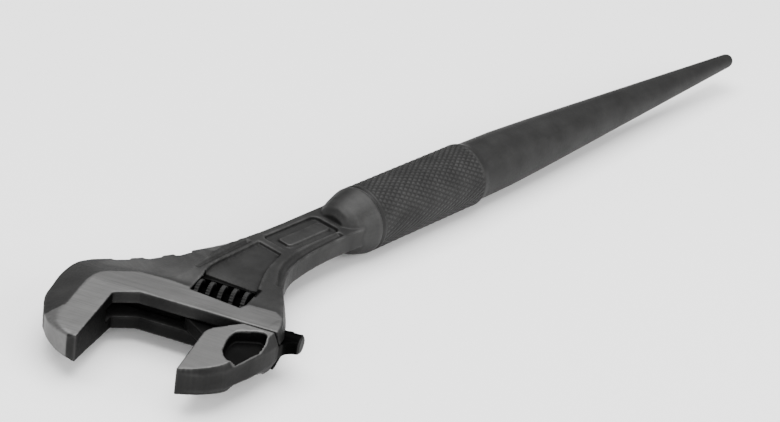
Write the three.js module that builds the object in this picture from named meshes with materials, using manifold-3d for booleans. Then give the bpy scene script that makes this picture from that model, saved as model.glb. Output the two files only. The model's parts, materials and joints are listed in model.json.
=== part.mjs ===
// Adjustable construction wrench, 16 inch class, with a tapered alignment-spike handle.
// Millimetres. X runs from the head to the handle tip, Z is up through the head's faces, and the
// movable jaw is on the -Y side. The origin is under the middle of the wrench, on the floor.
// Outlines in the head use two axes of their own: "out" points from the throat out of the jaw
// opening, and "slide" is the way the movable jaw travels as it opens.
import * as THREE from 'three';
import { mergeVertices } from 'three/addons/utils/BufferGeometryUtils.js';
import Module from 'manifold-3d';

const wasm = await Module();
wasm.setup();

// Head
const HEAD_ANGLE = THREE.MathUtils.degToRad(22.5);
const THROAT_Y = 9.0;
const HEAD_HALF = 7.5;
const LAND_HALF = 3.2;
const JAW_REACH = 32.3;
const JAW_TAPER = 0.078;
const THROAT_LENGTH = 59.2;
const OPENING = 35.9;

// Rail, slot and worm
const RAIL_OUT = -8.1;
const RAIL_RADIUS = 3.6;
const RAIL_START = OPENING - 11.6;
const RAIL_END = OPENING + 28.5;
const SLOT_HALF = 2.6;
const WORM_OUT = -17;
const WORM_RADIUS = 7.5;
const WORM_ROOT = 4.8;
const WORM_PITCH = 4.3;
const WORM_START = 21.9;
const WORM_LENGTH = 19.6;
const RIB_WIDTH = 1.8;
const RIB_START = 19.2;
const WINDOW_START = 21.5;
const WINDOW_END = 42;
const PIN_RADIUS = 2;
const PIN_HEAD_RADIUS = 3;
const PIN_START = 17.5;
const PIN_HEAD_START = 44.9;
const PIN_END = 53;
const SPRING_RADIUS = 2.85;
const SPRING_WIRE = 0.8;
const SPRING_START = 36.7;
const SPRING_END = 41.8;

// Clearances
const FIT = 0.3;
const BORE_FIT = 0.35;
const RACK_FIT = 0.4;
const THROAT_FIT = 0.35;

// Neck and handle
const NECK_HALF = 3.9;
const RECESS_FLOOR = 2.3;
const NECK_END = 112;
const PANEL_END = 65.6;
const PANEL_FLOOR = 3;
const PANEL_SLOPE = 0.07;
const GRIP_RADIUS = 12.9;
const GRIP_GROOVE = 114.2;
const GRIP_END = 175.5;
const SPIKE_RADIUS = 11.9;
const SPIKE_START = 180;
const TIP_RADIUS = 3.2;
const TIP_X = 374.7;

const ROUND_SIDES = 48;
const SMALL_SIDES = 24;

const headFrame = new THREE.Matrix4()
  .makeRotationZ(Math.PI + HEAD_ANGLE)
  .setPosition(0, THROAT_Y, 0);

// ---------------------------------------------------------------- solids

function withoutRepeats(index) {
  const kept = [];
  for (let i = 0; i < index.length; i += 3) {
    const [a, b, c] = index.slice(i, i + 3);
    if (a !== b && b !== c && c !== a) kept.push(a, b, c);
  }
  return kept;
}

function signedVolume(points, index) {
  const corner = [new THREE.Vector3(), new THREE.Vector3(), new THREE.Vector3()];
  let sum = 0;
  for (let i = 0; i < index.length; i += 3) {
    corner.forEach((v, k) => v.fromArray(points, 3 * index[i + k]));
    sum += corner[0].dot(corner[1].clone().cross(corner[2]));
  }
  return sum / 6;
}

// A closed three.js geometry as a solid, with its faces turned outwards.
function solid(geometry) {
  const bare = new THREE.BufferGeometry();
  bare.setAttribute('position', geometry.getAttribute('position').clone());
  if (geometry.index) bare.setIndex(geometry.index.clone());
  const welded = mergeVertices(bare, 1e-4);
  const points = new Float32Array(welded.getAttribute('position').array);
  const index = withoutRepeats(Array.from(welded.index.array));
  if (signedVolume(points, index) < 0) index.reverse();
  const mesh = new wasm.Mesh({ numProp: 3, vertProperties: points, triVerts: new Uint32Array(index) });
  return new wasm.Manifold(mesh);
}

function addAll(first, others) {
  return others.reduce((sum, other) => sum.add(other), first);
}

function cutAll(first, others) {
  return others.reduce((rest, other) => rest.subtract(other), first);
}

function meshOf(name, body, material) {
  const { vertProperties, triVerts } = body.getMesh();
  const geometry = new THREE.BufferGeometry();
  geometry.setAttribute('position', new THREE.BufferAttribute(vertProperties, 3));
  geometry.setIndex(new THREE.BufferAttribute(triVerts, 1));
  geometry.computeVertexNormals();
  const mesh = new THREE.Mesh(geometry, material);
  mesh.name = name;
  return mesh;
}

// ---------------------------------------------------------------- shapes

// A point given in the head's (out, slide) axes, in the wrench's own axes.
function inHead(out, slide) {
  const point = new THREE.Vector3(out, slide, 0).applyMatrix4(headFrame);
  return new THREE.Vector2(point.x, point.y);
}

function inWrench(x, y) {
  return new THREE.Vector2(x, y);
}

// A smooth line through points, with the same number of steps in each span.
function smooth(points, steps = 3) {
  const curve = new THREE.CatmullRomCurve3(points.map((p) => new THREE.Vector3(p.x, p.y, 0)));
  const line = [];
  const spans = points.length - 1;
  for (let i = 0; i <= spans * steps; i++) {
    const p = curve.getPoint(i / (spans * steps));
    line.push(new THREE.Vector2(p.x, p.y));
  }
  return line;
}

function joined(...lines) {
  const outline = lines.flat();
  return outline.filter((p, i) => p.distanceTo(outline[(i + 1) % outline.length]) > 1e-6);
}

function plate(outline, bottom, top) {
  const geometry = new THREE.ExtrudeGeometry(new THREE.Shape(outline), {
    depth: top - bottom,
    bevelEnabled: false,
  });
  return geometry.translate(0, 0, bottom);
}

// A profile of (x, z) points, drawn out along Y.
function sidePlate(profile, yStart, yEnd) {
  return plate(profile, -yEnd, -yStart).rotateX(Math.PI / 2);
}

// Closed rings of points, all of the same length, skinned one to the next and capped.
function loft(rings, flat) {
  const count = rings[0].length;
  const last = (rings.length - 1) * count;
  const index = [];
  for (let start = 0; start < last; start += count) {
    for (let i = 0; i < count; i++) {
      const next = (i + 1) % count;
      index.push(start + i, start + next, start + count + next);
      index.push(start + i, start + count + next, start + count + i);
    }
  }
  const sense = THREE.ShapeUtils.isClockWise(rings[0].map(flat)) ? 1 : -1;
  for (const [a, b, c] of THREE.ShapeUtils.triangulateShape(rings[0].map(flat), [])) {
    index.push(...(sense > 0 ? [a, b, c] : [a, c, b]));
  }
  for (const [a, b, c] of THREE.ShapeUtils.triangulateShape(rings.at(-1).map(flat), [])) {
    index.push(...(sense > 0 ? [last + a, last + c, last + b] : [last + a, last + b, last + c]));
  }
  const geometry = new THREE.BufferGeometry().setFromPoints(rings.flat());
  return geometry.setIndex(index);
}

// A forging: its widest outline around a flat land, drawn in to a smaller outline on both faces.
function forging(widest, face, land, half) {
  const level = (outline, z) => outline.map((p) => new THREE.Vector3(p.x, p.y, z));
  const rings = [level(face, -half), level(widest, -land), level(widest, land), level(face, half)];
  return loft(rings, (p) => new THREE.Vector2(p.x, p.y));
}

// A turned piece along X, from (x, radius) pairs that start and end on the axis.
function turned(profile, sides) {
  const points = profile.map(([x, radius]) => new THREE.Vector2(radius, x));
  return new THREE.LatheGeometry(points, sides).rotateZ(-Math.PI / 2);
}

// A cylinder in the head's axes, along the slide direction.
function slideCylinder(out, radius, start, end, sides = SMALL_SIDES) {
  return new THREE.CylinderGeometry(radius, radius, end - start, sides)
    .translate(out, (start + end) / 2, 0);
}

function mirrored(geometry) {
  return geometry.clone().scale(1, 1, -1);
}

// The same shape on both faces of the head or neck.
function onBothFaces(geometry) {
  return [solid(geometry), solid(mirrored(geometry))];
}

function placed(geometry) {
  return geometry.applyMatrix4(headFrame);
}

// ---------------------------------------------------------------- body

// The wedge that thins a jaw towards its tip, in the head's axes.
function jawTaper() {
  const far = JAW_REACH + 8;
  const profile = [
    new THREE.Vector2(0, HEAD_HALF),
    new THREE.Vector2(far, HEAD_HALF - JAW_TAPER * far),
    new THREE.Vector2(far, HEAD_HALF + 4),
    new THREE.Vector2(0, HEAD_HALF + 4),
  ];
  return sidePlate(profile, -40, 80);
}

const widestOutline = joined(
  [inHead(0, THROAT_LENGTH), inHead(0, 7.8), inHead(4.4, 0), inHead(JAW_REACH, 0)],
  smooth([inHead(JAW_REACH, -3), inHead(30.6, -7.3), inHead(27.1, -12.5), inHead(21.3, -17.2)]),
  smooth([inHead(21.3, -17.2), inHead(12.3, -21.2), inHead(5, -22.2), inHead(-4.5, -23.1),
    inHead(-13.6, -21.8), inHead(-18.2, -18.2)]),
  smooth([inHead(-18.2, -18.2), inHead(-22.2, -12.4), inHead(-27.2, -5.2), inHead(-34.8, 3.3),
    inHead(-42.2, 9.4), inHead(-53, 18), inWrench(70, 10.9), inWrench(NECK_END, 11.2)]),
  smooth([inWrench(NECK_END, -10.8), inWrench(92, -10.3), inWrench(82.5, -10.5), inWrench(73.5, -11.4),
    inWrench(63.4, -13.5), inWrench(55.1, -17.8), inWrench(47.2, -24.2), inWrench(41.6, -30)]),
  smooth([inWrench(41.6, -30), inHead(-14, 56), inHead(-4.5, 59), inHead(0, THROAT_LENGTH)]),
);

const faceOutline = joined(
  [inHead(0, THROAT_LENGTH - 1.4), inHead(0, 7.8), inHead(4.4, 0), inHead(JAW_REACH, 0)],
  smooth([inHead(JAW_REACH, -3), inHead(30, -6.3), inHead(26.3, -8.9), inHead(20.8, -9.2)]),
  smooth([inHead(20.8, -9.2), inHead(14.8, -7.9), inHead(5.8, -9.6), inHead(-1.5, -10.2),
    inHead(-5.8, -8.6), inHead(-9, -4)]),
  smooth([inHead(-9, -4), inHead(-11.3, 0.5), inHead(-12.4, 6), inHead(-14, 13),
    inHead(-27.4, 18.6), inHead(-44.7, 21.8), inWrench(70, 9.2), inWrench(NECK_END, 9.6)]),
  smooth([inWrench(NECK_END, -9.4), inWrench(92, -9.2), inWrench(82.5, -9.4), inWrench(73.5, -10.3),
    inWrench(63, -12.4), inWrench(54.4, -16.7), inWrench(46.8, -22.9), inWrench(41.2, -28.8)]),
  smooth([inWrench(41.2, -28.8), inHead(-13.3, 54.6), inHead(-4.6, 57.5),
    inHead(0, THROAT_LENGTH - 1.4)]),
);

// The forged face's height along the wrench: full at the head, thin at the neck.
const faceHeights = [[20, HEAD_HALF], [30, 7.2], [42, 6.2], [54, 5], [66, 4.15], [78, NECK_HALF],
  [NECK_END + 2, NECK_HALF]].map(([x, z]) => new THREE.Vector2(x, z));

function neckRelief() {
  const line = smooth(faceHeights, 2);
  const top = HEAD_HALF + 4;
  const profile = [...line, new THREE.Vector2(NECK_END + 2, top), new THREE.Vector2(20, top)];
  return sidePlate(profile, -40, 40);
}

// Scallops in the far edge that leave low lugs between them.
function edgeScallops() {
  const spans = [[-22.3, -12.5, -26, -7.2], [-28.4, -3.2, -33.8, 1.3], [-35.9, 5.3, -41.9, 9]];
  const depth = 1.8;
  return spans.map(([outStart, slideStart, outEnd, slideEnd]) => {
    const start = inHead(outStart, slideStart);
    const end = inHead(outEnd, slideEnd);
    const along = end.clone().sub(start).normalize();
    const inward = new THREE.Vector2(along.y, -along.x);
    if (inward.y > 0) inward.negate();
    const outline = [
      start.clone().addScaledVector(inward, -4),
      start.clone().addScaledVector(inward, depth * 0.4),
      start.clone().addScaledVector(inward, depth).addScaledVector(along, 0.9),
      end.clone().addScaledVector(inward, depth).addScaledVector(along, -0.9),
      end.clone().addScaledVector(inward, depth * 0.4),
      end.clone().addScaledVector(inward, -4),
    ];
    return solid(plate(outline, -HEAD_HALF, HEAD_HALF));
  });
}

function roundedBox(xStart, xEnd, yStart, yEnd, radius) {
  const shape = new THREE.Shape();
  shape.absarc(xEnd - radius, yEnd - radius, radius, 0, Math.PI / 2);
  shape.absarc(xStart + radius, yEnd - radius, radius, Math.PI / 2, Math.PI);
  shape.absarc(xStart + radius, yStart + radius, radius, Math.PI, 1.5 * Math.PI);
  shape.absarc(xEnd - radius, yStart + radius, radius, 1.5 * Math.PI, 2 * Math.PI);
  return shape.extractPoints(5).shape;
}

// The long recess in the neck, the shorter one under the shoulder, and the panel by the worm.
function neckRecesses() {
  const long = plate(roundedBox(69, 97, -5.8, 7.6, 2.5), RECESS_FLOOR, HEAD_HALF);
  const short = plate(roundedBox(99.5, 110, -7.5, 7.5, 3), RECESS_FLOOR, HEAD_HALF);
  const panel = joined(
    [inWrench(PANEL_END, 6)],
    smooth([inWrench(PANEL_END, -5.2), inWrench(60, -7.4), inWrench(52, -10.8), inWrench(44.5, -15.4),
      inHead(-22, 41.6)]),
    smooth([inHead(-22, 21.5), inWrench(36, 1.2), inWrench(50, 3.6), inWrench(PANEL_END, 6)]),
  );
  const sunk = plate(panel, 0, HEAD_HALF)
    .translate(-PANEL_END, 0, 0)
    .rotateY(PANEL_SLOPE)
    .translate(PANEL_END, 0, PANEL_FLOOR);
  return [long, short, sunk].flatMap(onBothFaces);
}

// A round-bottomed groove, following a line on the forged face.
function faceGroove(line, radius, depth) {
  const height = new THREE.CatmullRomCurve3(faceHeights.map((p) => new THREE.Vector3(p.x, p.y, 0)));
  const heights = height.getPoints(60);
  const levelAt = (x) => {
    const i = heights.findIndex((p) => p.x >= x);
    return i <= 0 ? HEAD_HALF : heights[i].y;
  };
  const path = line.map((p) => new THREE.Vector3(p.x, p.y, levelAt(p.x) + radius - depth));
  const section = new THREE.Shape().absarc(0, 0, radius, 0, 2 * Math.PI);
  return new THREE.ExtrudeGeometry(new THREE.Shape(section.extractPoints(5).shape), {
    steps: 16,
    extrudePath: new THREE.CatmullRomCurve3(path),
    bevelEnabled: false,
  });
}

function faceGrooves() {
  const near = [inWrench(95, -7.6), inWrench(84, -8.1), inWrench(74, -9), inWrench(64.5, -11.2),
    inWrench(57, -14.8), inWrench(51, -19.6), inWrench(47, -22.6)];
  const far = [inWrench(31, 2.9), inWrench(40, 4.5), inWrench(50, 6.2), inWrench(63, 8.2)];
  return [faceGroove(near, 2, 1.1), faceGroove(far, 1.3, 0.8)].flatMap(onBothFaces);
}

// A plain raised bar on the floor of the long recess.
function recessBar() {
  return onBothFaces(plate(roundedBox(73.5, 95.5, -2.2, 4, 1.4), RECESS_FLOOR - 1, RECESS_FLOOR + 1));
}

function handle() {
  const grip = [[99, 0], [99, 6.4], [100.8, 8.7], [103.1, 10.1], [106, 11.3], [109.5, 12.3],
    [112, GRIP_RADIUS], [GRIP_GROOVE - 0.8, GRIP_RADIUS], [GRIP_GROOVE - 0.4, GRIP_RADIUS - 0.8],
    [GRIP_GROOVE + 0.4, GRIP_RADIUS - 0.8], [GRIP_GROOVE + 0.8, GRIP_RADIUS],
    [GRIP_END, GRIP_RADIUS], [SPIKE_START - 1.5, SPIKE_RADIUS + 0.15]];
  const spike = [[SPIKE_START, SPIKE_RADIUS], [200, 11.7], [222, 10.8], [245, 9.65]];
  const tipStart = TIP_X - TIP_RADIUS;
  const tip = [0, 30, 60, 90].map((degrees) => {
    const turn = THREE.MathUtils.degToRad(degrees);
    return [tipStart + TIP_RADIUS * Math.sin(turn), TIP_RADIUS * Math.cos(turn)];
  });
  tip[3][1] = 0;
  return turned([...grip, ...spike, ...tip], ROUND_SIDES);
}

// The slot that the jaw's web slides in. It runs under the fixed jaw's root, and out at the side.
function slot() {
  const corners = [[RAIL_OUT, -12.8], [-1, -12.8], [9.2, 0.2], [9.2, 3], [2, 9], [2, 64], [RAIL_OUT, 64]];
  const outline = corners.map(([out, slide]) => new THREE.Vector2(out, slide));
  return placed(plate(outline, -SLOT_HALF, SLOT_HALF));
}

// The window that the worm sits in, open on both faces.
function wormWindow() {
  const shape = new THREE.Shape();
  const far = -22.7;
  const corner = 1.5;
  const endCorner = 4.5;
  shape.moveTo(-10.8, WINDOW_START);
  shape.lineTo(-8.2, 41);
  shape.lineTo(-11.4, WINDOW_END);
  shape.absarc(far + endCorner, WINDOW_END - endCorner, endCorner, Math.PI / 2, Math.PI);
  shape.absarc(far + corner, WINDOW_START + corner, corner, Math.PI, 1.5 * Math.PI);
  return placed(plate(shape.extractPoints(5).shape, -HEAD_HALF - 1, HEAD_HALF + 1));
}

function body(material) {
  const blank = solid(forging(widestOutline, faceOutline, LAND_HALF, HEAD_HALF));
  const shaped = cutAll(blank, [
    ...onBothFaces(placed(jawTaper())),
    ...onBothFaces(neckRelief()),
    ...edgeScallops(),
    ...neckRecesses(),
    ...faceGrooves(),
  ]);
  const whole = addAll(shaped, [...recessBar(), solid(handle())]);
  const wormSpace = slideCylinder(WORM_OUT, WORM_RADIUS + 0.4, WINDOW_START, WINDOW_END, ROUND_SIDES);
  const machined = cutAll(whole, [
    solid(slot()),
    solid(placed(slideCylinder(RAIL_OUT, RAIL_RADIUS + BORE_FIT, -12.8, 64))),
    solid(wormWindow()),
    solid(placed(wormSpace)),
    solid(placed(slideCylinder(WORM_OUT, PIN_RADIUS + FIT, PIN_START - FIT, 60))),
    solid(placed(slideCylinder(WORM_OUT, PIN_HEAD_RADIUS + FIT, PIN_HEAD_START - FIT, 60))),
  ]);
  return meshOf('body', machined, material);
}

// ---------------------------------------------------------------- movable jaw, in the head's axes

function flatPoints(pairs) {
  return pairs.map(([out, slide]) => new THREE.Vector2(out, OPENING + slide));
}

// Jaw outlines are measured along the slide from the gripping face.
function jawOutline(back) {
  const front = flatPoints([[THROAT_FIT, 9.8], [7.4, 1.7], [8.8, 0.7], [11.1, 0]]);
  return joined(front, smooth(flatPoints(back)));
}

function jawBlock() {
  const widest = jawOutline([[33.5, 0], [32, 5], [29.3, 9.6], [25.7, 13.4], [22.5, 15],
    [19.3, 16.4], [14.3, 18.7], [7.6, 21.2], [3.5, 22.4], [THROAT_FIT, 22.9]]);
  const face = jawOutline([[33.5, 0], [30.3, 3.8], [26.8, 8.5], [22.9, 12.5], [19.8, 14],
    [16, 15.6], [12, 17.2], [6.8, 19.3], [3, 20.5], [THROAT_FIT, 21]]);
  return forging(widest, face, LAND_HALF, HEAD_HALF);
}

// The web that joins the jaw to its rail through the slot, with a gusset under the gripping face.
function jawWeb() {
  const outline = flatPoints([[11, 3], [8.6, 0.9], [-1.4, -11.6], [RAIL_OUT, -11.6],
    [RAIL_OUT, 28], [-4.8, 28], [-4.3, 26.2], [-3, 24.6], [-1, 23.7], [2, 22.6], [11, 18]]);
  return plate(outline, -SLOT_HALF + FIT, SLOT_HALF - FIT);
}

function rail() {
  const chamfer = 0.8;
  const profile = [[RAIL_START, 0], [RAIL_START, RAIL_RADIUS - chamfer], [RAIL_START + chamfer, RAIL_RADIUS],
    [RAIL_END - chamfer, RAIL_RADIUS], [RAIL_END, RAIL_RADIUS - chamfer], [RAIL_END, 0]];
  const points = profile.map(([slide, radius]) => new THREE.Vector2(radius, slide));
  return new THREE.LatheGeometry(points, SMALL_SIDES).translate(RAIL_OUT, 0, 0);
}

// Rack grooves are slanted to the worm's lead, and set where the worm's ribs cross the rail.
function rackGrooves() {
  const width = RIB_WIDTH + 2 * RACK_FIT;
  const floor = WORM_OUT + WORM_RADIUS + FIT;
  const depth = 6;
  const lead = Math.atan(WORM_PITCH / (2 * Math.PI * (WORM_RADIUS - 1.1)));
  const grooves = [];
  for (let slide = RIB_START + WORM_PITCH; slide < RAIL_END + RIB_WIDTH; slide += WORM_PITCH) {
    const groove = new THREE.BoxGeometry(depth, width, 4 * RAIL_RADIUS)
      .rotateX(lead)
      .translate(floor - depth / 2, slide, 0);
    grooves.push(solid(groove));
  }
  return grooves;
}

// A shallow drop-shaped pocket in each face of the jaw.
function jawPockets() {
  const outline = smooth(flatPoints([[17.1, 9.3], [9.5, 8.5], [5.6, 9.6], [3.6, 13], [2, 17.2],
    [2.9, 19.3], [6, 20.1], [9.5, 19.7], [13, 18.5], [16.5, 17], [19, 15.9], [20.8, 15], [21.5, 13.2],
    [19.7, 10.9], [17.1, 9.3]]));
  return onBothFaces(plate(joined(outline), 2.6, HEAD_HALF + 1));
}

function movableJaw(material) {
  const blank = addAll(solid(jawBlock()), [solid(jawWeb()), solid(rail())]);
  const cut = cutAll(blank, [...onBothFaces(jawTaper()), ...jawPockets(), ...rackGrooves()]);
  return meshOf('movable_jaw', cut, material);
}

// ---------------------------------------------------------------- worm knurl, pin and spring

// The right-hand thread's rib, as rings of four corners that step along the helix.
function wormRib() {
  const perTurn = 24;
  const turns = WORM_LENGTH / WORM_PITCH + 1;
  const half = RIB_WIDTH / 2;
  const rings = [];
  for (let i = 0; i <= turns * perTurn; i++) {
    const turn = (2 * Math.PI * i) / perTurn;
    const slide = RIB_START + (WORM_PITCH * i) / perTurn;
    const corner = (radius, shift) => new THREE.Vector3(
      radius * Math.cos(turn), slide + shift, -radius * Math.sin(turn));
    rings.push([corner(WORM_ROOT - 0.6, -half), corner(WORM_RADIUS, -half * 0.85),
      corner(WORM_RADIUS, half * 0.85), corner(WORM_ROOT - 0.6, half)]);
  }
  return rings;
}

function closedTube(rings) {
  const count = rings[0].length;
  const last = (rings.length - 1) * count;
  const index = [0, 1, 2, 0, 2, 3, last, last + 2, last + 1, last, last + 3, last + 2];
  for (let start = 0; start < last; start += count) {
    for (let i = 0; i < count; i++) {
      const next = (i + 1) % count;
      index.push(start + i, start + count + next, start + next);
      index.push(start + i, start + count + i, start + count + next);
    }
  }
  return new THREE.BufferGeometry().setFromPoints(rings.flat()).setIndex(index);
}

function wormKnurl(material) {
  const end = WORM_START + WORM_LENGTH;
  const centred = (radius, from, to, sides) => solid(slideCylinder(0, radius, from, to, sides));
  const core = centred(WORM_ROOT, WORM_START, end, ROUND_SIDES);
  const envelope = centred(WORM_RADIUS + 1, WORM_START, end, ROUND_SIDES);
  const threaded = core.add(solid(closedTube(wormRib())).intersect(envelope));
  const bored = cutAll(threaded, [
    centred(PIN_RADIUS + 0.4, WORM_START - 1, end + 1),
    centred(SPRING_RADIUS + SPRING_WIRE / 2 + BORE_FIT, SPRING_START - FIT, end + 1),
  ]);
  const mesh = meshOf('knurl', bored, material);
  mesh.position.x = WORM_OUT;
  return mesh;
}

function knurlPin(material) {
  const profile = [[PIN_START, 0], [PIN_START, PIN_RADIUS - 0.4], [PIN_START + 0.4, PIN_RADIUS],
    [PIN_HEAD_START, PIN_RADIUS], [PIN_HEAD_START, PIN_HEAD_RADIUS], [PIN_END - 0.4, PIN_HEAD_RADIUS],
    [PIN_END, PIN_HEAD_RADIUS - 0.4], [PIN_END, 0]];
  const points = profile.map(([slide, radius]) => new THREE.Vector2(radius, slide));
  const shank = solid(new THREE.LatheGeometry(points, SMALL_SIDES));
  const driverSlot = new THREE.BoxGeometry(3 * PIN_HEAD_RADIUS, 2.4, 1).translate(0, PIN_END, 0);
  const mesh = meshOf('knurl_pin', shank.subtract(solid(driverSlot)), material);
  mesh.position.x = WORM_OUT;
  return mesh;
}

class Coil extends THREE.Curve {
  getPoint(t, target = new THREE.Vector3()) {
    const turns = 4.5;
    const turn = 2 * Math.PI * turns * t;
    const start = SPRING_START + SPRING_WIRE / 2;
    const end = SPRING_END - SPRING_WIRE / 2;
    return target.set(SPRING_RADIUS * Math.cos(turn), start + (end - start) * t,
      SPRING_RADIUS * Math.sin(turn));
  }
}

function knurlSpring(material) {
  const section = new THREE.Shape().absarc(0, 0, SPRING_WIRE / 2, 0, 2 * Math.PI);
  const wire = new THREE.ExtrudeGeometry(new THREE.Shape(section.extractPoints(2).shape), {
    steps: 72,
    extrudePath: new Coil(),
    bevelEnabled: false,
  });
  const mesh = meshOf('knurl_spring', solid(wire), material);
  mesh.position.x = WORM_OUT;
  return mesh;
}

// ---------------------------------------------------------------- assembly

function steel(colour, roughness, metalness) {
  return new THREE.MeshStandardMaterial({ color: colour, roughness, metalness });
}

const blackOxide = steel(0x3b3a3c, 0.5, 0.7);
const groundSteel = steel(0x6f6e6d, 0.42, 0.85);
const knurlSteel = steel(0x333234, 0.42, 0.8);
const springSteel = steel(0x8a8a88, 0.3, 0.95);

const wrench = new THREE.Group();
const headParts = new THREE.Group();
headParts.applyMatrix4(headFrame);
headParts.add(movableJaw(groundSteel));
headParts.add(wormKnurl(knurlSteel));
headParts.add(knurlPin(blackOxide));
headParts.add(knurlSpring(springSteel));
wrench.add(body(blackOxide));
wrench.add(headParts);

// The whole wrench is moved so that its box is centred on the origin and stands on Z = 0.
const box = new THREE.Box3().setFromObject(wrench, true);
const centre = box.getCenter(new THREE.Vector3());
wrench.position.set(-centre.x, -centre.y, -box.min.z);

export default wrench;
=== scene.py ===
"""Looks of the adjustable wrench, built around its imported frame.

Lengths are metres. They are millimetres in names that end in _MM or _mm, and in the head's own axes.
"""

import json
import math

import bmesh
import bpy
import numpy as np
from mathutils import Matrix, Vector


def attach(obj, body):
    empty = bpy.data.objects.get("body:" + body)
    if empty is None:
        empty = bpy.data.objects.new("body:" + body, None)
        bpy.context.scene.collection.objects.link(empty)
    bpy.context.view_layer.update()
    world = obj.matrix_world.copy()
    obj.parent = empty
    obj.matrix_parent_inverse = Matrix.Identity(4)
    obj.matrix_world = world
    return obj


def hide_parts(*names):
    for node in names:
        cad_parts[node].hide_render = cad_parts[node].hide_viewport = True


MM = 0.001
UP = Vector((0, 0, 1))

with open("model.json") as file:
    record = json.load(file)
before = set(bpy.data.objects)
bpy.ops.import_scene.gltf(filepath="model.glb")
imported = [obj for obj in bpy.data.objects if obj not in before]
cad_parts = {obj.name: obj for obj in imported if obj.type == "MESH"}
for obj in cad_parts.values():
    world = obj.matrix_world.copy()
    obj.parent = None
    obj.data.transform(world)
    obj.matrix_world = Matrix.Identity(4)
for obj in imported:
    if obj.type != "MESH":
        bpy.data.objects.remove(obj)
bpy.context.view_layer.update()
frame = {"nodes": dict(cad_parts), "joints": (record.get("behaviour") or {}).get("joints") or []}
joints = {joint["name"]: joint for joint in frame["joints"]}

# The head's own axes: "slide" is the way the jaw opens, "out" points out of the jaw opening.
WORM_OUT_MM = -17.0
WORM_MIDDLE_MM = 31.7
OPENING_MM = 35.9
RAIL_END_MM = 64.4
HEAD_HALF_MM = 7.5
LAND_HALF_MM = 3.2
SLOT_HALF_MM = 2.6
JAW_TAPER = 0.078
slide_axis = Vector(joints["jaw_slide"]["axis"]).normalized()
out_axis = slide_axis.cross(UP)
worm_centre = Vector(joints["knurl_spin"]["pos_m"])
head_origin = worm_centre - out_axis * WORM_OUT_MM * MM - slide_axis * WORM_MIDDLE_MM * MM


def in_head(points):
    """Columns out, slide and up, in millimetres, of an array of points."""
    axes = np.array([out_axis, slide_axis, UP])
    return (points - np.array(head_origin)) @ axes.T / MM


# ------------------------------------------------------------------ meshes


def new_object(name, mesh):
    obj = bpy.data.objects.new(name, mesh)
    bpy.context.scene.collection.objects.link(obj)
    return obj


def welded_mesh(node):
    """The CAD node's mesh with its shared corners merged."""
    bm = bmesh.new()
    bm.from_mesh(frame["nodes"][node].data)
    bmesh.ops.remove_doubles(bm, verts=bm.verts, dist=1e-6)
    return bm


def to_object(name, bm):
    mesh = bpy.data.meshes.new(name)
    bm.to_mesh(mesh)
    bm.free()
    return new_object(name, mesh)


def remesh(obj, voxel_mm):
    """Rebuilds the object's surface as small even quads."""
    modifier = obj.modifiers.new("voxels", "REMESH")
    modifier.mode = "VOXEL"
    modifier.voxel_size = voxel_mm * MM
    bpy.context.view_layer.update()
    evaluated = obj.evaluated_get(bpy.context.evaluated_depsgraph_get())
    mesh = bpy.data.meshes.new_from_object(evaluated)
    obj.modifiers.clear()
    obj.data = mesh


def points_of(mesh):
    flat = np.empty(len(mesh.vertices) * 3, np.float64)
    mesh.vertices.foreach_get("co", flat)
    return flat.reshape(-1, 3)


def set_points(mesh, points):
    mesh.vertices.foreach_set("co", points.ravel())
    mesh.update()


def normals_of(mesh):
    flat = np.empty(len(mesh.vertices) * 3, np.float32)
    mesh.vertex_normals.foreach_get("vector", flat)
    return flat.reshape(-1, 3).astype(np.float64)


def neighbour_mean(mesh):
    """A function that gives, for values at the vertices, the mean of each vertex's neighbours."""
    ends = np.empty(len(mesh.edges) * 2, np.int32)
    mesh.edges.foreach_get("vertices", ends)
    a, b = ends.reshape(-1, 2).T
    count = len(mesh.vertices)
    shares = np.bincount(a, minlength=count) + np.bincount(b, minlength=count)
    shares = np.maximum(shares, 1)

    def mean(values):
        columns = values.reshape(count, -1).T
        total = [np.bincount(a, c[b], count) + np.bincount(b, c[a], count) for c in columns]
        return (np.array(total) / shares).T.reshape(values.shape)

    return mean


def smooth(mesh, rounds, weight=None, steps=(0.5, -0.52)):
    """Smooths the mesh, by default without shrinking it.

    weight, from 0 to 1 at each vertex, says where.
    """
    mean = neighbour_mean(mesh)
    points = points_of(mesh)
    share = 1.0 if weight is None else weight[:, None]
    for _ in range(rounds):
        for step in steps:
            points += step * share * (mean(points) - points)
    set_points(mesh, points)


def attribute(mesh, name, values, soften=0):
    """Stores values at the vertices for the materials, softened by a few rounds of averaging."""
    if soften:
        mean = neighbour_mean(mesh)
        for _ in range(soften):
            values = (values + mean(values)) / 2
    layer = mesh.attributes.get(name) or mesh.attributes.new(name, "FLOAT", "POINT")
    layer.data.foreach_set("value", np.clip(values, 0, 1).astype(np.float32))


def bend(mesh, rounds):
    """How sharply the surface turns at each vertex.

    Above 0 on ridges, below 0 in hollows.
    """
    mean = neighbour_mean(mesh)
    points = points_of(mesh)
    turn = np.einsum("ij,ij->i", points - mean(points), normals_of(mesh)) / MM
    for _ in range(rounds):
        turn = mean(turn)
    return turn


def inside(outline, x, y):
    """Whether each point is inside a closed outline."""
    result = np.zeros(len(x), bool)
    for (x1, y1), (x2, y2) in zip(outline, outline[1:] + outline[:1]):
        crosses = (y1 > y) != (y2 > y)
        with np.errstate(divide="ignore", invalid="ignore"):
            at = x1 + (y - y1) * (x2 - x1) / (y2 - y1)
        result ^= crosses & (x < at)
    return result


def finish_surface(obj, voxel_mm):
    """Marks ridges, for wear, and hollows, for painted shade, for the materials, and shades the
    object smooth.
    """
    turn = bend(obj.data, 3) / voxel_mm
    attribute(obj.data, "ridge", turn * 7)
    attribute(obj.data, "hollow_shade", -turn * 7)
    obj.data.polygons.foreach_set("use_smooth", [True] * len(obj.data.polygons))
    obj.data.update()


# ------------------------------------------------------------------ materials


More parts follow.
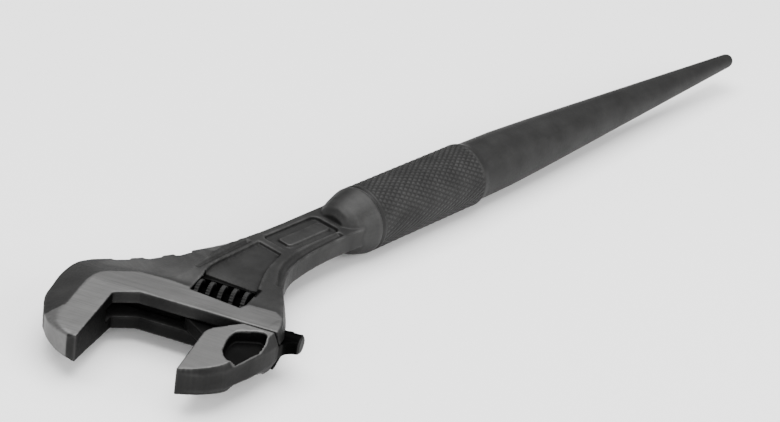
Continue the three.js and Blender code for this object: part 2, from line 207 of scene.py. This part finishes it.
class Nodes:
    """Short names for building one material's node tree."""

    def __init__(self, name):
        self.material = bpy.data.materials.new(name)
        self.material.use_nodes = True
        self.tree = self.material.node_tree
        self.shader = self.tree.nodes["Principled BSDF"]

    def add(self, kind, inputs=None, **settings):
        node = self.tree.nodes.new("ShaderNode" + kind)
        for key, value in settings.items():
            setattr(node, key, value)
        for key, value in (inputs or {}).items():
            if isinstance(value, bpy.types.NodeSocket):
                self.tree.links.new(value, node.inputs[key])
            else:
                node.inputs[key].default_value = value
        return node

    def link(self, output, socket):
        self.tree.links.new(output, self.shader.inputs[socket])

    def coordinates(self, stretch=(1, 1, 1), turn=0.0):
        """The object's own coordinates, turned about up and then stretched."""
        source = self.add("TexCoord").outputs["Object"]
        turned = self.add("Mapping", {"Vector": source, "Rotation": (0, 0, turn)})
        stretched = self.add("Mapping", {"Vector": turned.outputs["Vector"], "Scale": stretch})
        return stretched.outputs["Vector"]

    def noise(self, scale, detail=4.0, roughness=0.55, where=None):
        where = where or self.coordinates()
        inputs = {"Vector": where, "Scale": scale, "Detail": detail, "Roughness": roughness}
        node = self.add("TexNoise", inputs)
        return node.outputs["Fac"]

    def ranged(self, value, low, high, from_low=0.0, from_high=1.0):
        node = self.add("MapRange", {0: value, 1: from_low, 2: from_high, 3: low, 4: high})
        return node.outputs[0]

    def maths(self, operation, a, b):
        return self.add("Math", {0: a, 1: b}, operation=operation).outputs[0]

    def marked(self, name):
        return self.add("Attribute", attribute_name=name).outputs["Fac"]

    def grey(self, value, tint):
        """A colour whose brightness is value and whose tint is nearly neutral."""
        channels = [self.maths("MULTIPLY", value, part) for part in tint]
        node = self.add("CombineColor", dict(zip(("Red", "Green", "Blue"), channels)))
        return node.outputs["Color"]

    def bump(self, height, depth_mm, strength, normal=None):
        inputs = {"Height": height, "Distance": depth_mm * MM, "Strength": strength}
        if normal is not None:
            inputs["Normal"] = normal
        return self.add("Bump", inputs).outputs["Normal"]

    def between(self, share, low, high):
        """Mixes two values by share."""
        node = self.add("Mix", {0: share, 2: low, 3: high}, data_type="FLOAT")
        return node.outputs[0]


GRINDING_ANGLE = math.atan2(-slide_axis.y, slide_axis.x)


def steel(name, dark, bright, metallic=0.75, ground_roughness=0.4, oxide_roughness=0.5, shine=0.5):
    """Black-oxide steel, with ground steel, worn ridges, painted shade in hollows and where marked,
    and painted light where marked.

    dark and bright are the base values of the oxide and of the ground steel.
    """
    n = Nodes(name)
    ground = n.marked("ground")
    ridge = n.marked("ridge")
    hollow_shade = n.marked("hollow_shade")
    mottle = n.noise(90, 5, 0.6)
    grain = n.noise(1400, 3, 0.6)
    painted_shade = n.marked("painted_shade")
    across = n.coordinates(stretch=(50, 2200, 700), turn=GRINDING_ANGLE)
    lines = n.noise(1.0, 3, 0.5, across)

    oxide = n.ranged(mottle, dark * 0.8, dark * 1.25, 0.3, 0.7)
    oxide = n.maths("MULTIPLY", oxide, n.ranged(grain, 0.88, 1.12, 0.3, 0.7))
    face = n.ranged(lines, bright * 0.86, bright * 1.12, 0.3, 0.7)
    face = n.maths("MULTIPLY", face, n.ranged(mottle, 0.92, 1.06, 0.3, 0.7))
    value = n.between(ground, oxide, face)
    worn = n.maths("MULTIPLY", ridge, n.ranged(mottle, 0.15, 1.0, 0.42, 0.62))
    value = n.between(n.maths("MULTIPLY", worn, 0.5), value, bright * 1.15)
    # Painted shade: darker in hollows and much darker where marked as shade.
    value = n.maths("MULTIPLY", value, n.ranged(hollow_shade, 1.0, 0.5))
    value = n.maths("MULTIPLY", value, n.ranged(painted_shade, 1.0, 0.1))
    # Painted light: brighter where marked as light.
    value = n.maths("MULTIPLY", value, n.ranged(n.marked("painted_light"), 1.0, 2.0))
    n.link(n.grey(value, (1.0, 0.995, 0.985)), "Base Color")

    oxide_rough = n.ranged(grain, oxide_roughness - 0.05, oxide_roughness + 0.08, 0.3, 0.7)
    ground_rough = n.ranged(lines, ground_roughness - 0.05, ground_roughness + 0.08, 0.3, 0.7)
    n.link(n.between(ground, oxide_rough, ground_rough), "Roughness")
    # Painted shade stays dark: fully metallic where marked as shade.
    n.link(n.ranged(painted_shade, metallic, 1.0), "Metallic")
    n.shader.inputs["Specular IOR Level"].default_value = shine
    n.shader.inputs["Specular Tint"].default_value = (0.55, 0.55, 0.55, 1)

    forged = n.bump(n.noise(170, 3, 0.5), 0.25, 0.35)
    pitted = n.bump(grain, 0.05, 0.55, forged)
    n.link(n.bump(n.maths("MULTIPLY", lines, ground), 0.02, 0.4, pitted), "Normal")
    return n.material


# ------------------------------------------------------------------ body

# The body is built in two pieces, which meet on the floor of the groove before the grip.
NECK_CUT_MM = 114.2
BODY_VOXEL_MM = 0.36
ROUNDS_ALL_OVER = 5
ROUNDS_FORGED = 14
ROUNDS_JAW_BACK = 40
FACING_UP = 0.9

spike_tip = max(frame["nodes"]["body"].data.vertices, key=lambda vertex: vertex.co.x)
handle_middle = Vector(spike_tip.co)
neck_cut = head_origin.x + NECK_CUT_MM * MM

# The ground band on the head's flat faces and the fixed jaw's nose, in (out, slide).
GROUND_BAND = [
    (40, 6), (40, -20), (23.5, -20), (22.8, -15.5), (20.4, -12.6), (17.5, -11), (14.7, -10.9),
    (6, -11.2), (1.2, -11.2), (-1.7, -10.6), (-5.3, -9.2), (-7.4, -6.6), (-9.5, -2.5),
    (-12.2, 2.2), (-12.5, 13.4), (-11.2, 25.1), (-8.1, 40.9), (-11.5, 42.9), (-12.3, 52.5),
    (-8.7, 57), (-4.6, 58.8), (3, 62), (3, 8),
]
WORM_WINDOW = [(-8, 20), (-6, 43), (-24, 43), (-26, 20)]
NOSE_START_MM = 20
NOSE_END_MM = 31.9
THROAT_CORNER_MM = 4.8


def edge_faded(mesh, area):
    """1 well inside an area of vertices and 0 outside it, fading out towards its edge."""
    mean = neighbour_mean(mesh)
    share = area.astype(float)
    for _ in range(6):
        share = mean(share)
    return np.clip(share * 2 - 1, 0, 1)


def head_and_neck():
    """The forged head and neck, with the forged surfaces softened and the ground ones crisp."""
    bm = welded_mesh("body")
    everything = list(bm.verts) + list(bm.edges) + list(bm.faces)
    cut = bmesh.ops.bisect_plane(
        bm, geom=everything, plane_co=(neck_cut, 0, 0), plane_no=(1, 0, 0), clear_outer=True
    )
    edges = [e for e in cut["geom_cut"] if isinstance(e, bmesh.types.BMEdge)]
    bmesh.ops.holes_fill(bm, edges=edges, sides=0)
    obj = to_object("forged_head_and_neck", bm)
    remesh(obj, BODY_VOXEL_MM)
    mesh = obj.data
    smooth(mesh, ROUNDS_ALL_OVER)
    out, slide, up = in_head(points_of(mesh)).T
    height = np.abs(up)
    normals = normals_of(mesh)
    facing_up = np.abs(normals[:, 2]) > FACING_UP
    band = inside(GROUND_BAND, out, slide)
    nose = (out > NOSE_START_MM) & (slide < -0.6)

    face_side = height < HEAD_HALF_MM - 1.2
    forged = (~band | face_side) & (out < NOSE_START_MM) | nose & (slide < -1.5)
    softness = edge_faded(mesh, forged)
    smooth(mesh, ROUNDS_FORGED, softness)
    off_outline = np.abs(height - LAND_HALF_MM) > 0.8
    jaw_back = (out > -9) & (slide < -1.5) & off_outline
    smooth(mesh, ROUNDS_JAW_BACK, softness * jaw_back, steps=(0.5,))

    facing_out = normals @ np.array(out_axis) > 0.2
    end_facet = (out > NOSE_END_MM) & (slide > -3.2) & facing_out & ~facing_up
    ground = band & (facing_up & (height > 4) | nose)
    attribute(mesh, "ground", np.where(ground & ~end_facet, 1.0, 0.0), soften=2)

    # Painted shade: the throat, the worm window, the slot's sides (lighter above the slot than
    # below), the fixed jaw's gripping face and the facet at the nose's end are darkened.
    throat = (out > -9) & (out < THROAT_CORNER_MM) & (slide > -13)
    throat = throat & (height < 7.2) & ~facing_up
    window = inside(WORM_WINDOW, out, slide) & (height < 7)
    beside_slot = throat & (height > SLOT_HALF_MM + 0.3)
    grip_face = (normals @ np.array(slide_axis) > 0.6) & (slide > -1) & (slide < 9)
    grip_face = grip_face & (out > THROAT_CORNER_MM) & ~facing_up
    painted_shade = np.where(throat | window, 1.0, 0.0)
    painted_shade = np.where(beside_slot, np.where(up > 0, 0.45, 0.8), painted_shade)
    painted_shade = np.where(grip_face, 0.75, painted_shade)
    painted_shade = np.where(end_facet, 0.5, painted_shade)
    attribute(mesh, "painted_shade", painted_shade, soften=1)

    # Painted light: the forged face beyond the ground band is brightened towards the head's start.
    along = (points_of(mesh)[:, 0] - head_origin.x) / MM
    near_band = np.clip((-13 - out) / 2.5, 0, 1) * np.clip((slide + 15) / 4, 0, 1)
    painted_light = np.clip((42 - along) / 20, 0, 1) * near_band
    attribute(mesh, "painted_light", np.where(ground, 0, painted_light))
    finish_surface(obj, BODY_VOXEL_MM)
    return obj


# ------------------------------------------------------------------ grip and spike

KNURL_STARTS = 38
KNURL_STEPS = 9
RINGS_PER_LEAD = 14
SPIKE_RINGS = 420
KNURL_ANGLE = math.radians(30)
KNURL_DEPTH_MM = 0.3
GRIP_MARGIN_MM = 0.5
GRIP_FADE_MM = 0.6


def handle_profile():
    """Pairs of place along the wrench and radius, from the CAD's turned handle."""
    points = points_of(frame["nodes"]["body"].data) - np.array(handle_middle)
    radius = np.hypot(points[:, 1], points[:, 2])
    beyond = points[:, 0] + handle_middle.x > neck_cut - 0.5 * MM
    pairs = {}
    for x, r in zip(points[beyond, 0], radius[beyond]):
        key = round(x / MM, 2)
        pairs[key] = max(pairs.get(key, 0.0), r)
    places = sorted(pairs)
    return np.array(places) * MM + handle_middle.x, np.array([pairs[p] for p in places])


def revolved(name, places, radii):
    """A closed turned mesh; radii has a row of radii for each place."""
    rings, sides = radii.shape
    angles = np.linspace(0, 2 * math.pi, sides, endpoint=False)
    x = np.repeat(places, sides)
    y = handle_middle.y + (radii * np.cos(angles)).ravel()
    z = handle_middle.z + (radii * np.sin(angles)).ravel()
    points = np.stack([x, y, z], 1).tolist()
    faces = []
    for ring in range(rings - 1):
        start = ring * sides
        for side in range(sides):
            step = (side + 1) % sides
            faces.append((start + side, start + sides + side, start + sides + step, start + step))
    faces.append(tuple(range(sides)))
    faces.append(tuple(range(rings * sides - 1, (rings - 1) * sides - 1, -1)))
    mesh = bpy.data.meshes.new(name)
    mesh.from_pydata(points, [], faces)
    mesh.validate()
    return new_object(name, mesh)


def handle():
    """The grip, with its diamond pattern pressed into the mesh, and the spike."""
    known_places, known_radii = handle_profile()
    grip_radius = known_radii.max()
    grip = known_places[known_radii > grip_radius - 0.02 * MM]
    grip_start, grip_end = grip[grip > neck_cut].min(), grip.max()
    sides = KNURL_STARTS * KNURL_STEPS
    lead = 2 * math.pi * grip_radius / math.tan(KNURL_ANGLE) / KNURL_STARTS
    step = lead / RINGS_PER_LEAD
    fine = np.arange(neck_cut, grip_end + 5 * MM, step)
    coarse = np.linspace(fine[-1] + step, known_places[-1] - 0.02 * MM, SPIKE_RINGS)
    places = np.concatenate([fine, coarse])
    radius = np.interp(places, known_places, known_radii)

    # The corners between the turned stretches are eased, from the end of the grip to near the tip.
    kernel = np.hanning(9) / np.hanning(9).sum()
    eased = np.convolve(np.pad(radius, len(kernel) // 2, mode="edge"), kernel, "valid")
    past_grip = places > grip_end - 1 * MM
    before_tip = places < known_places[-1] - 4 * MM
    radius = np.where(past_grip & before_tip, eased, radius)

    around = np.arange(sides) / KNURL_STEPS
    along = (places - grip_start)[:, None] / lead
    right = np.abs((around[None, :] + along) % 1.0 * 2 - 1)
    left = np.abs((around[None, :] - along) % 1.0 * 2 - 1)
    pattern = np.maximum(right, left) ** 1.6
    fade_in = np.clip((places - grip_start - GRIP_MARGIN_MM * MM) / (GRIP_FADE_MM * MM), 0, 1)
    fade_out = np.clip((grip_end - GRIP_MARGIN_MM * MM - places) / (GRIP_FADE_MM * MM), 0, 1)
    fade = (fade_in * fade_out)[:, None]
    depth = KNURL_DEPTH_MM * MM * fade
    obj = revolved("knurled_grip_and_spike", places, radius[:, None] - depth * pattern)
    mesh = obj.data
    # Painted shade in the knurl's grooves; the crests are marked for wear.
    hollow_shade = (pattern * fade).ravel()
    crest = ((1 - pattern) * fade).ravel()
    attribute(mesh, "ground", np.zeros(len(mesh.vertices)))
    attribute(mesh, "painted_shade", np.zeros(len(mesh.vertices)))
    attribute(mesh, "ridge", np.clip(crest * 1.6 - 0.9, 0, 1) * 0.4)
    attribute(mesh, "hollow_shade", np.clip(hollow_shade * 1.2 - 0.3, 0, 1) * 0.5)
    mesh.polygons.foreach_set("use_smooth", [True] * len(mesh.polygons))
    return obj


# ------------------------------------------------------------------ jaw, worm, pin and spring

JAW_VOXEL_MM = 0.3
RIM_GROWTH = 1.09

# The pocket in the movable jaw, in (out, slide from the gripping face).
JAW_POCKET = [
    (17.3, 9), (9.5, 8.2), (5.4, 9.3), (3.3, 13), (1.7, 17.2), (2.7, 19.4), (6, 20.2),
    (9.5, 19.8), (13, 18.6), (16.5, 17.1), (19, 16), (20.8, 15.1), (21.6, 13.1), (19.9, 10.8),
]


def jaw():
    """The movable jaw with ground faces, a ground pocket rim that is partly wear and partly a
    painted highlight, painted shade in the pocket and on the rail, and painted light on the block's
    sides.
    """
    obj = to_object("movable_jaw_and_rail", welded_mesh("movable_jaw"))
    remesh(obj, JAW_VOXEL_MM)
    mesh = obj.data
    smooth(mesh, ROUNDS_ALL_OVER)
    out, slide, up = in_head(points_of(mesh)).T
    normals = normals_of(mesh)
    height = np.abs(up)
    from_face = slide - OPENING_MM
    block = (out > 0.5) & (slide > OPENING_MM - 1)
    top = block & (np.abs(normals[:, 2]) > FACING_UP) & (height > 3.6)
    facing_back = normals @ np.array(slide_axis) < -0.8
    gripping = facing_back & (out > 8) & (slide < OPENING_MM + 1)

    sunk = height < HEAD_HALF_MM - JAW_TAPER * out - 0.8
    pocket = block & sunk & inside(JAW_POCKET, out, from_face)
    middle_out, middle_slide = np.mean(JAW_POCKET, axis=0)
    shrunk_out = middle_out + (out - middle_out) / RIM_GROWTH
    shrunk_slide = middle_slide + (from_face - middle_slide) / RIM_GROWTH
    near_pocket = inside(JAW_POCKET, shrunk_out, shrunk_slide) & ~pocket
    # The rim round the pocket is ground bright, partly as wear and partly as a painted highlight.
    rim = block & (height > LAND_HALF_MM - 0.3) & near_pocket
    shade = np.where(top | gripping, 1.0, np.where(rim, 0.5, 0.0))
    attribute(mesh, "ground", shade, soften=1)

    # Painted shade: the pocket, the rail and web, the gusset and the rail's end are darkened.
    gusset = ~block & (out > -1.5)
    rail_end = (out < 0) & (slide > RAIL_END_MM - 0.5)
    painted_shade = np.where(pocket, 0.7, np.where(block, 0.0, 1.0))
    painted_shade = np.where(gusset, 0.5, np.where(rail_end, 0.15, painted_shade))
    attribute(mesh, "painted_shade", painted_shade, soften=1)
    # Painted light: the block's sides brighten away from the jaw's tip.
    painted_light = np.clip((14 - out) / 12, 0, 1) * 0.7
    attribute(mesh, "painted_light", np.where(block & ~top, painted_light, 0.0))
    finish_surface(obj, JAW_VOXEL_MM)
    return obj


def small_part(node, name, voxel_mm, rounds):
    """A small CAD node with its edges rounded over."""
    obj = to_object(name, welded_mesh(node))
    remesh(obj, voxel_mm)
    smooth(obj.data, rounds)
    attribute(obj.data, "ground", np.zeros(len(obj.data.vertices)))
    attribute(obj.data, "painted_shade", np.zeros(len(obj.data.vertices)))
    finish_surface(obj, voxel_mm)
    return obj


WORM_VOXEL_MM = 0.17
PIN_VOXEL_MM = 0.16
SPRING_VOXEL_MM = 0.09
WORM_CREST_MM = 6.4
WORM_SERRATIONS = 36
SERRATION_DEPTH_MM = 0.45


def worm():
    """The worm, with fine serrations cut across the crests of its ribs."""
    obj = small_part("knurl", "worm_knurl", WORM_VOXEL_MM, 4)
    mesh = obj.data
    out, slide, up = in_head(points_of(mesh)).T
    out = out - WORM_OUT_MM
    radius = np.hypot(out, up)
    angle = np.arctan2(up, out)
    crest = np.clip((radius - WORM_CREST_MM) / 0.9, 0, 1)
    teeth = np.abs((angle / (2 * math.pi) * WORM_SERRATIONS) % 1.0 * 2 - 1) ** 1.5
    shift = -SERRATION_DEPTH_MM * MM * crest * teeth
    outwards = np.stack([np.cos(angle), np.zeros(len(angle)), np.sin(angle)], 1)
    axes = np.array([out_axis, slide_axis, UP])
    set_points(mesh, points_of(mesh) + (outwards @ axes) * shift[:, None])
    attribute(mesh, "ground", crest)
    # Painted shade between the ribs, darker towards their roots.
    attribute(mesh, "painted_shade", 1 - np.clip((radius - 5) / 2, 0, 1))
    return obj


# ------------------------------------------------------------------ assembly


def assemble():
    """Builds every piece and says what each rides on, replaces and is made of."""
    oxide = steel("black_oxide_forging", 0.028, 0.112, shine=0.3)
    jaw_steel = steel("ground_jaw_steel", 0.014, 0.1, shine=0.3)
    turned = steel("turned_black_steel", 0.006, 0.018, metallic=0.6, shine=0.1)
    pin_steel = steel("pin_black_steel", 0.01, 0.08, shine=0.2)
    spring_steel = steel("spring_wire_steel", 0.12, 0.25, metallic=0.95)
    head = head_and_neck()
    grip_and_spike = handle()
    moving_jaw = jaw()
    knurl = worm()
    pin = small_part("knurl_pin", "worm_pin", PIN_VOXEL_MM, 3)
    spring = small_part("knurl_spring", "worm_spring", SPRING_VOXEL_MM, 4)
    pieces = [
        (head, oxide, "wrench_body", "body", "black_oxide_steel"),
        (grip_and_spike, oxide, "wrench_body", "body", "black_oxide_steel"),
        (moving_jaw, jaw_steel, "jaw", "movable_jaw", "ground_steel"),
        (knurl, turned, "worm", "knurl", "knurl_steel"),
        (pin, pin_steel, "wrench_body", "knurl_pin", "pin_steel"),
        (spring, spring_steel, "wrench_body", "knurl_spring", "spring_steel"),
    ]
    for obj, material, body, node, slot in pieces:
        obj.data.materials.clear()
        obj.data.materials.append(material)
        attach(obj, body)
        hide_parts(node)


assemble()

# ------------------------------------------------------------------ stage, light and camera

LENS_MM = 96.923
CAMERA_PLACE = (-0.60659, -0.41729, 0.3886)
CAMERA_TURNS = (61.638, -7.709, -49.08)
WORLD_STRENGTH = 0.68


def floor():
    """A wide pale floor under the wrench."""
    bm = bmesh.new()
    bmesh.ops.create_grid(bm, x_segments=2, y_segments=2, size=6)
    obj = to_object("floor", bm)
    n = Nodes("pale_floor")
    n.link(n.grey(n.ranged(n.noise(3), 0.95, 0.98, 0.3, 0.7), (1, 1, 1)), "Base Color")
    n.shader.inputs["Roughness"].default_value = 0.9
    n.shader.inputs["Specular IOR Level"].default_value = 0.1
    obj.data.materials.append(n.material)


def softbox(name, place, aim, size, power):
    """An area light at a place, facing a point."""
    light = bpy.data.lights.new(name, "AREA")
    light.shape = "RECTANGLE"
    light.size, light.size_y = size
    light.energy = power
    obj = bpy.data.objects.new(name, light)
    obj.location = place
    obj.rotation_euler = (Vector(aim) - Vector(place)).to_track_quat("-Z", "Y").to_euler()
    bpy.context.scene.collection.objects.link(obj)


def lights():
    softbox("key_light", (0.3, -1.1, 0.6), (-0.02, 0, 0), (1.4, 0.7), 14)
    softbox("front_light", (-1.1, -0.5, 0.5), (-0.15, 0, 0), (0.6, 0.6), 6)
    softbox("top_light", (0, 0.1, 1.4), (0, 0, 0), (1.6, 1.6), 48)
    world = bpy.data.worlds.new("studio")
    bpy.context.scene.world = world
    world.use_nodes = True
    background = world.node_tree.nodes["Background"]
    background.inputs["Color"].default_value = (1, 1, 1, 1)
    background.inputs["Strength"].default_value = WORLD_STRENGTH


def camera():
    """The photo's camera, solved from the wrench's outlines."""
    data = bpy.data.cameras.new("camera")
    data.lens = LENS_MM
    data.sensor_width = 36
    data.clip_start = 0.01
    obj = bpy.data.objects.new("camera", data)
    obj.location = CAMERA_PLACE
    obj.rotation_euler = [math.radians(angle) for angle in CAMERA_TURNS]
    bpy.context.scene.collection.objects.link(obj)
    bpy.context.scene.camera = obj


floor()
lights()
camera()
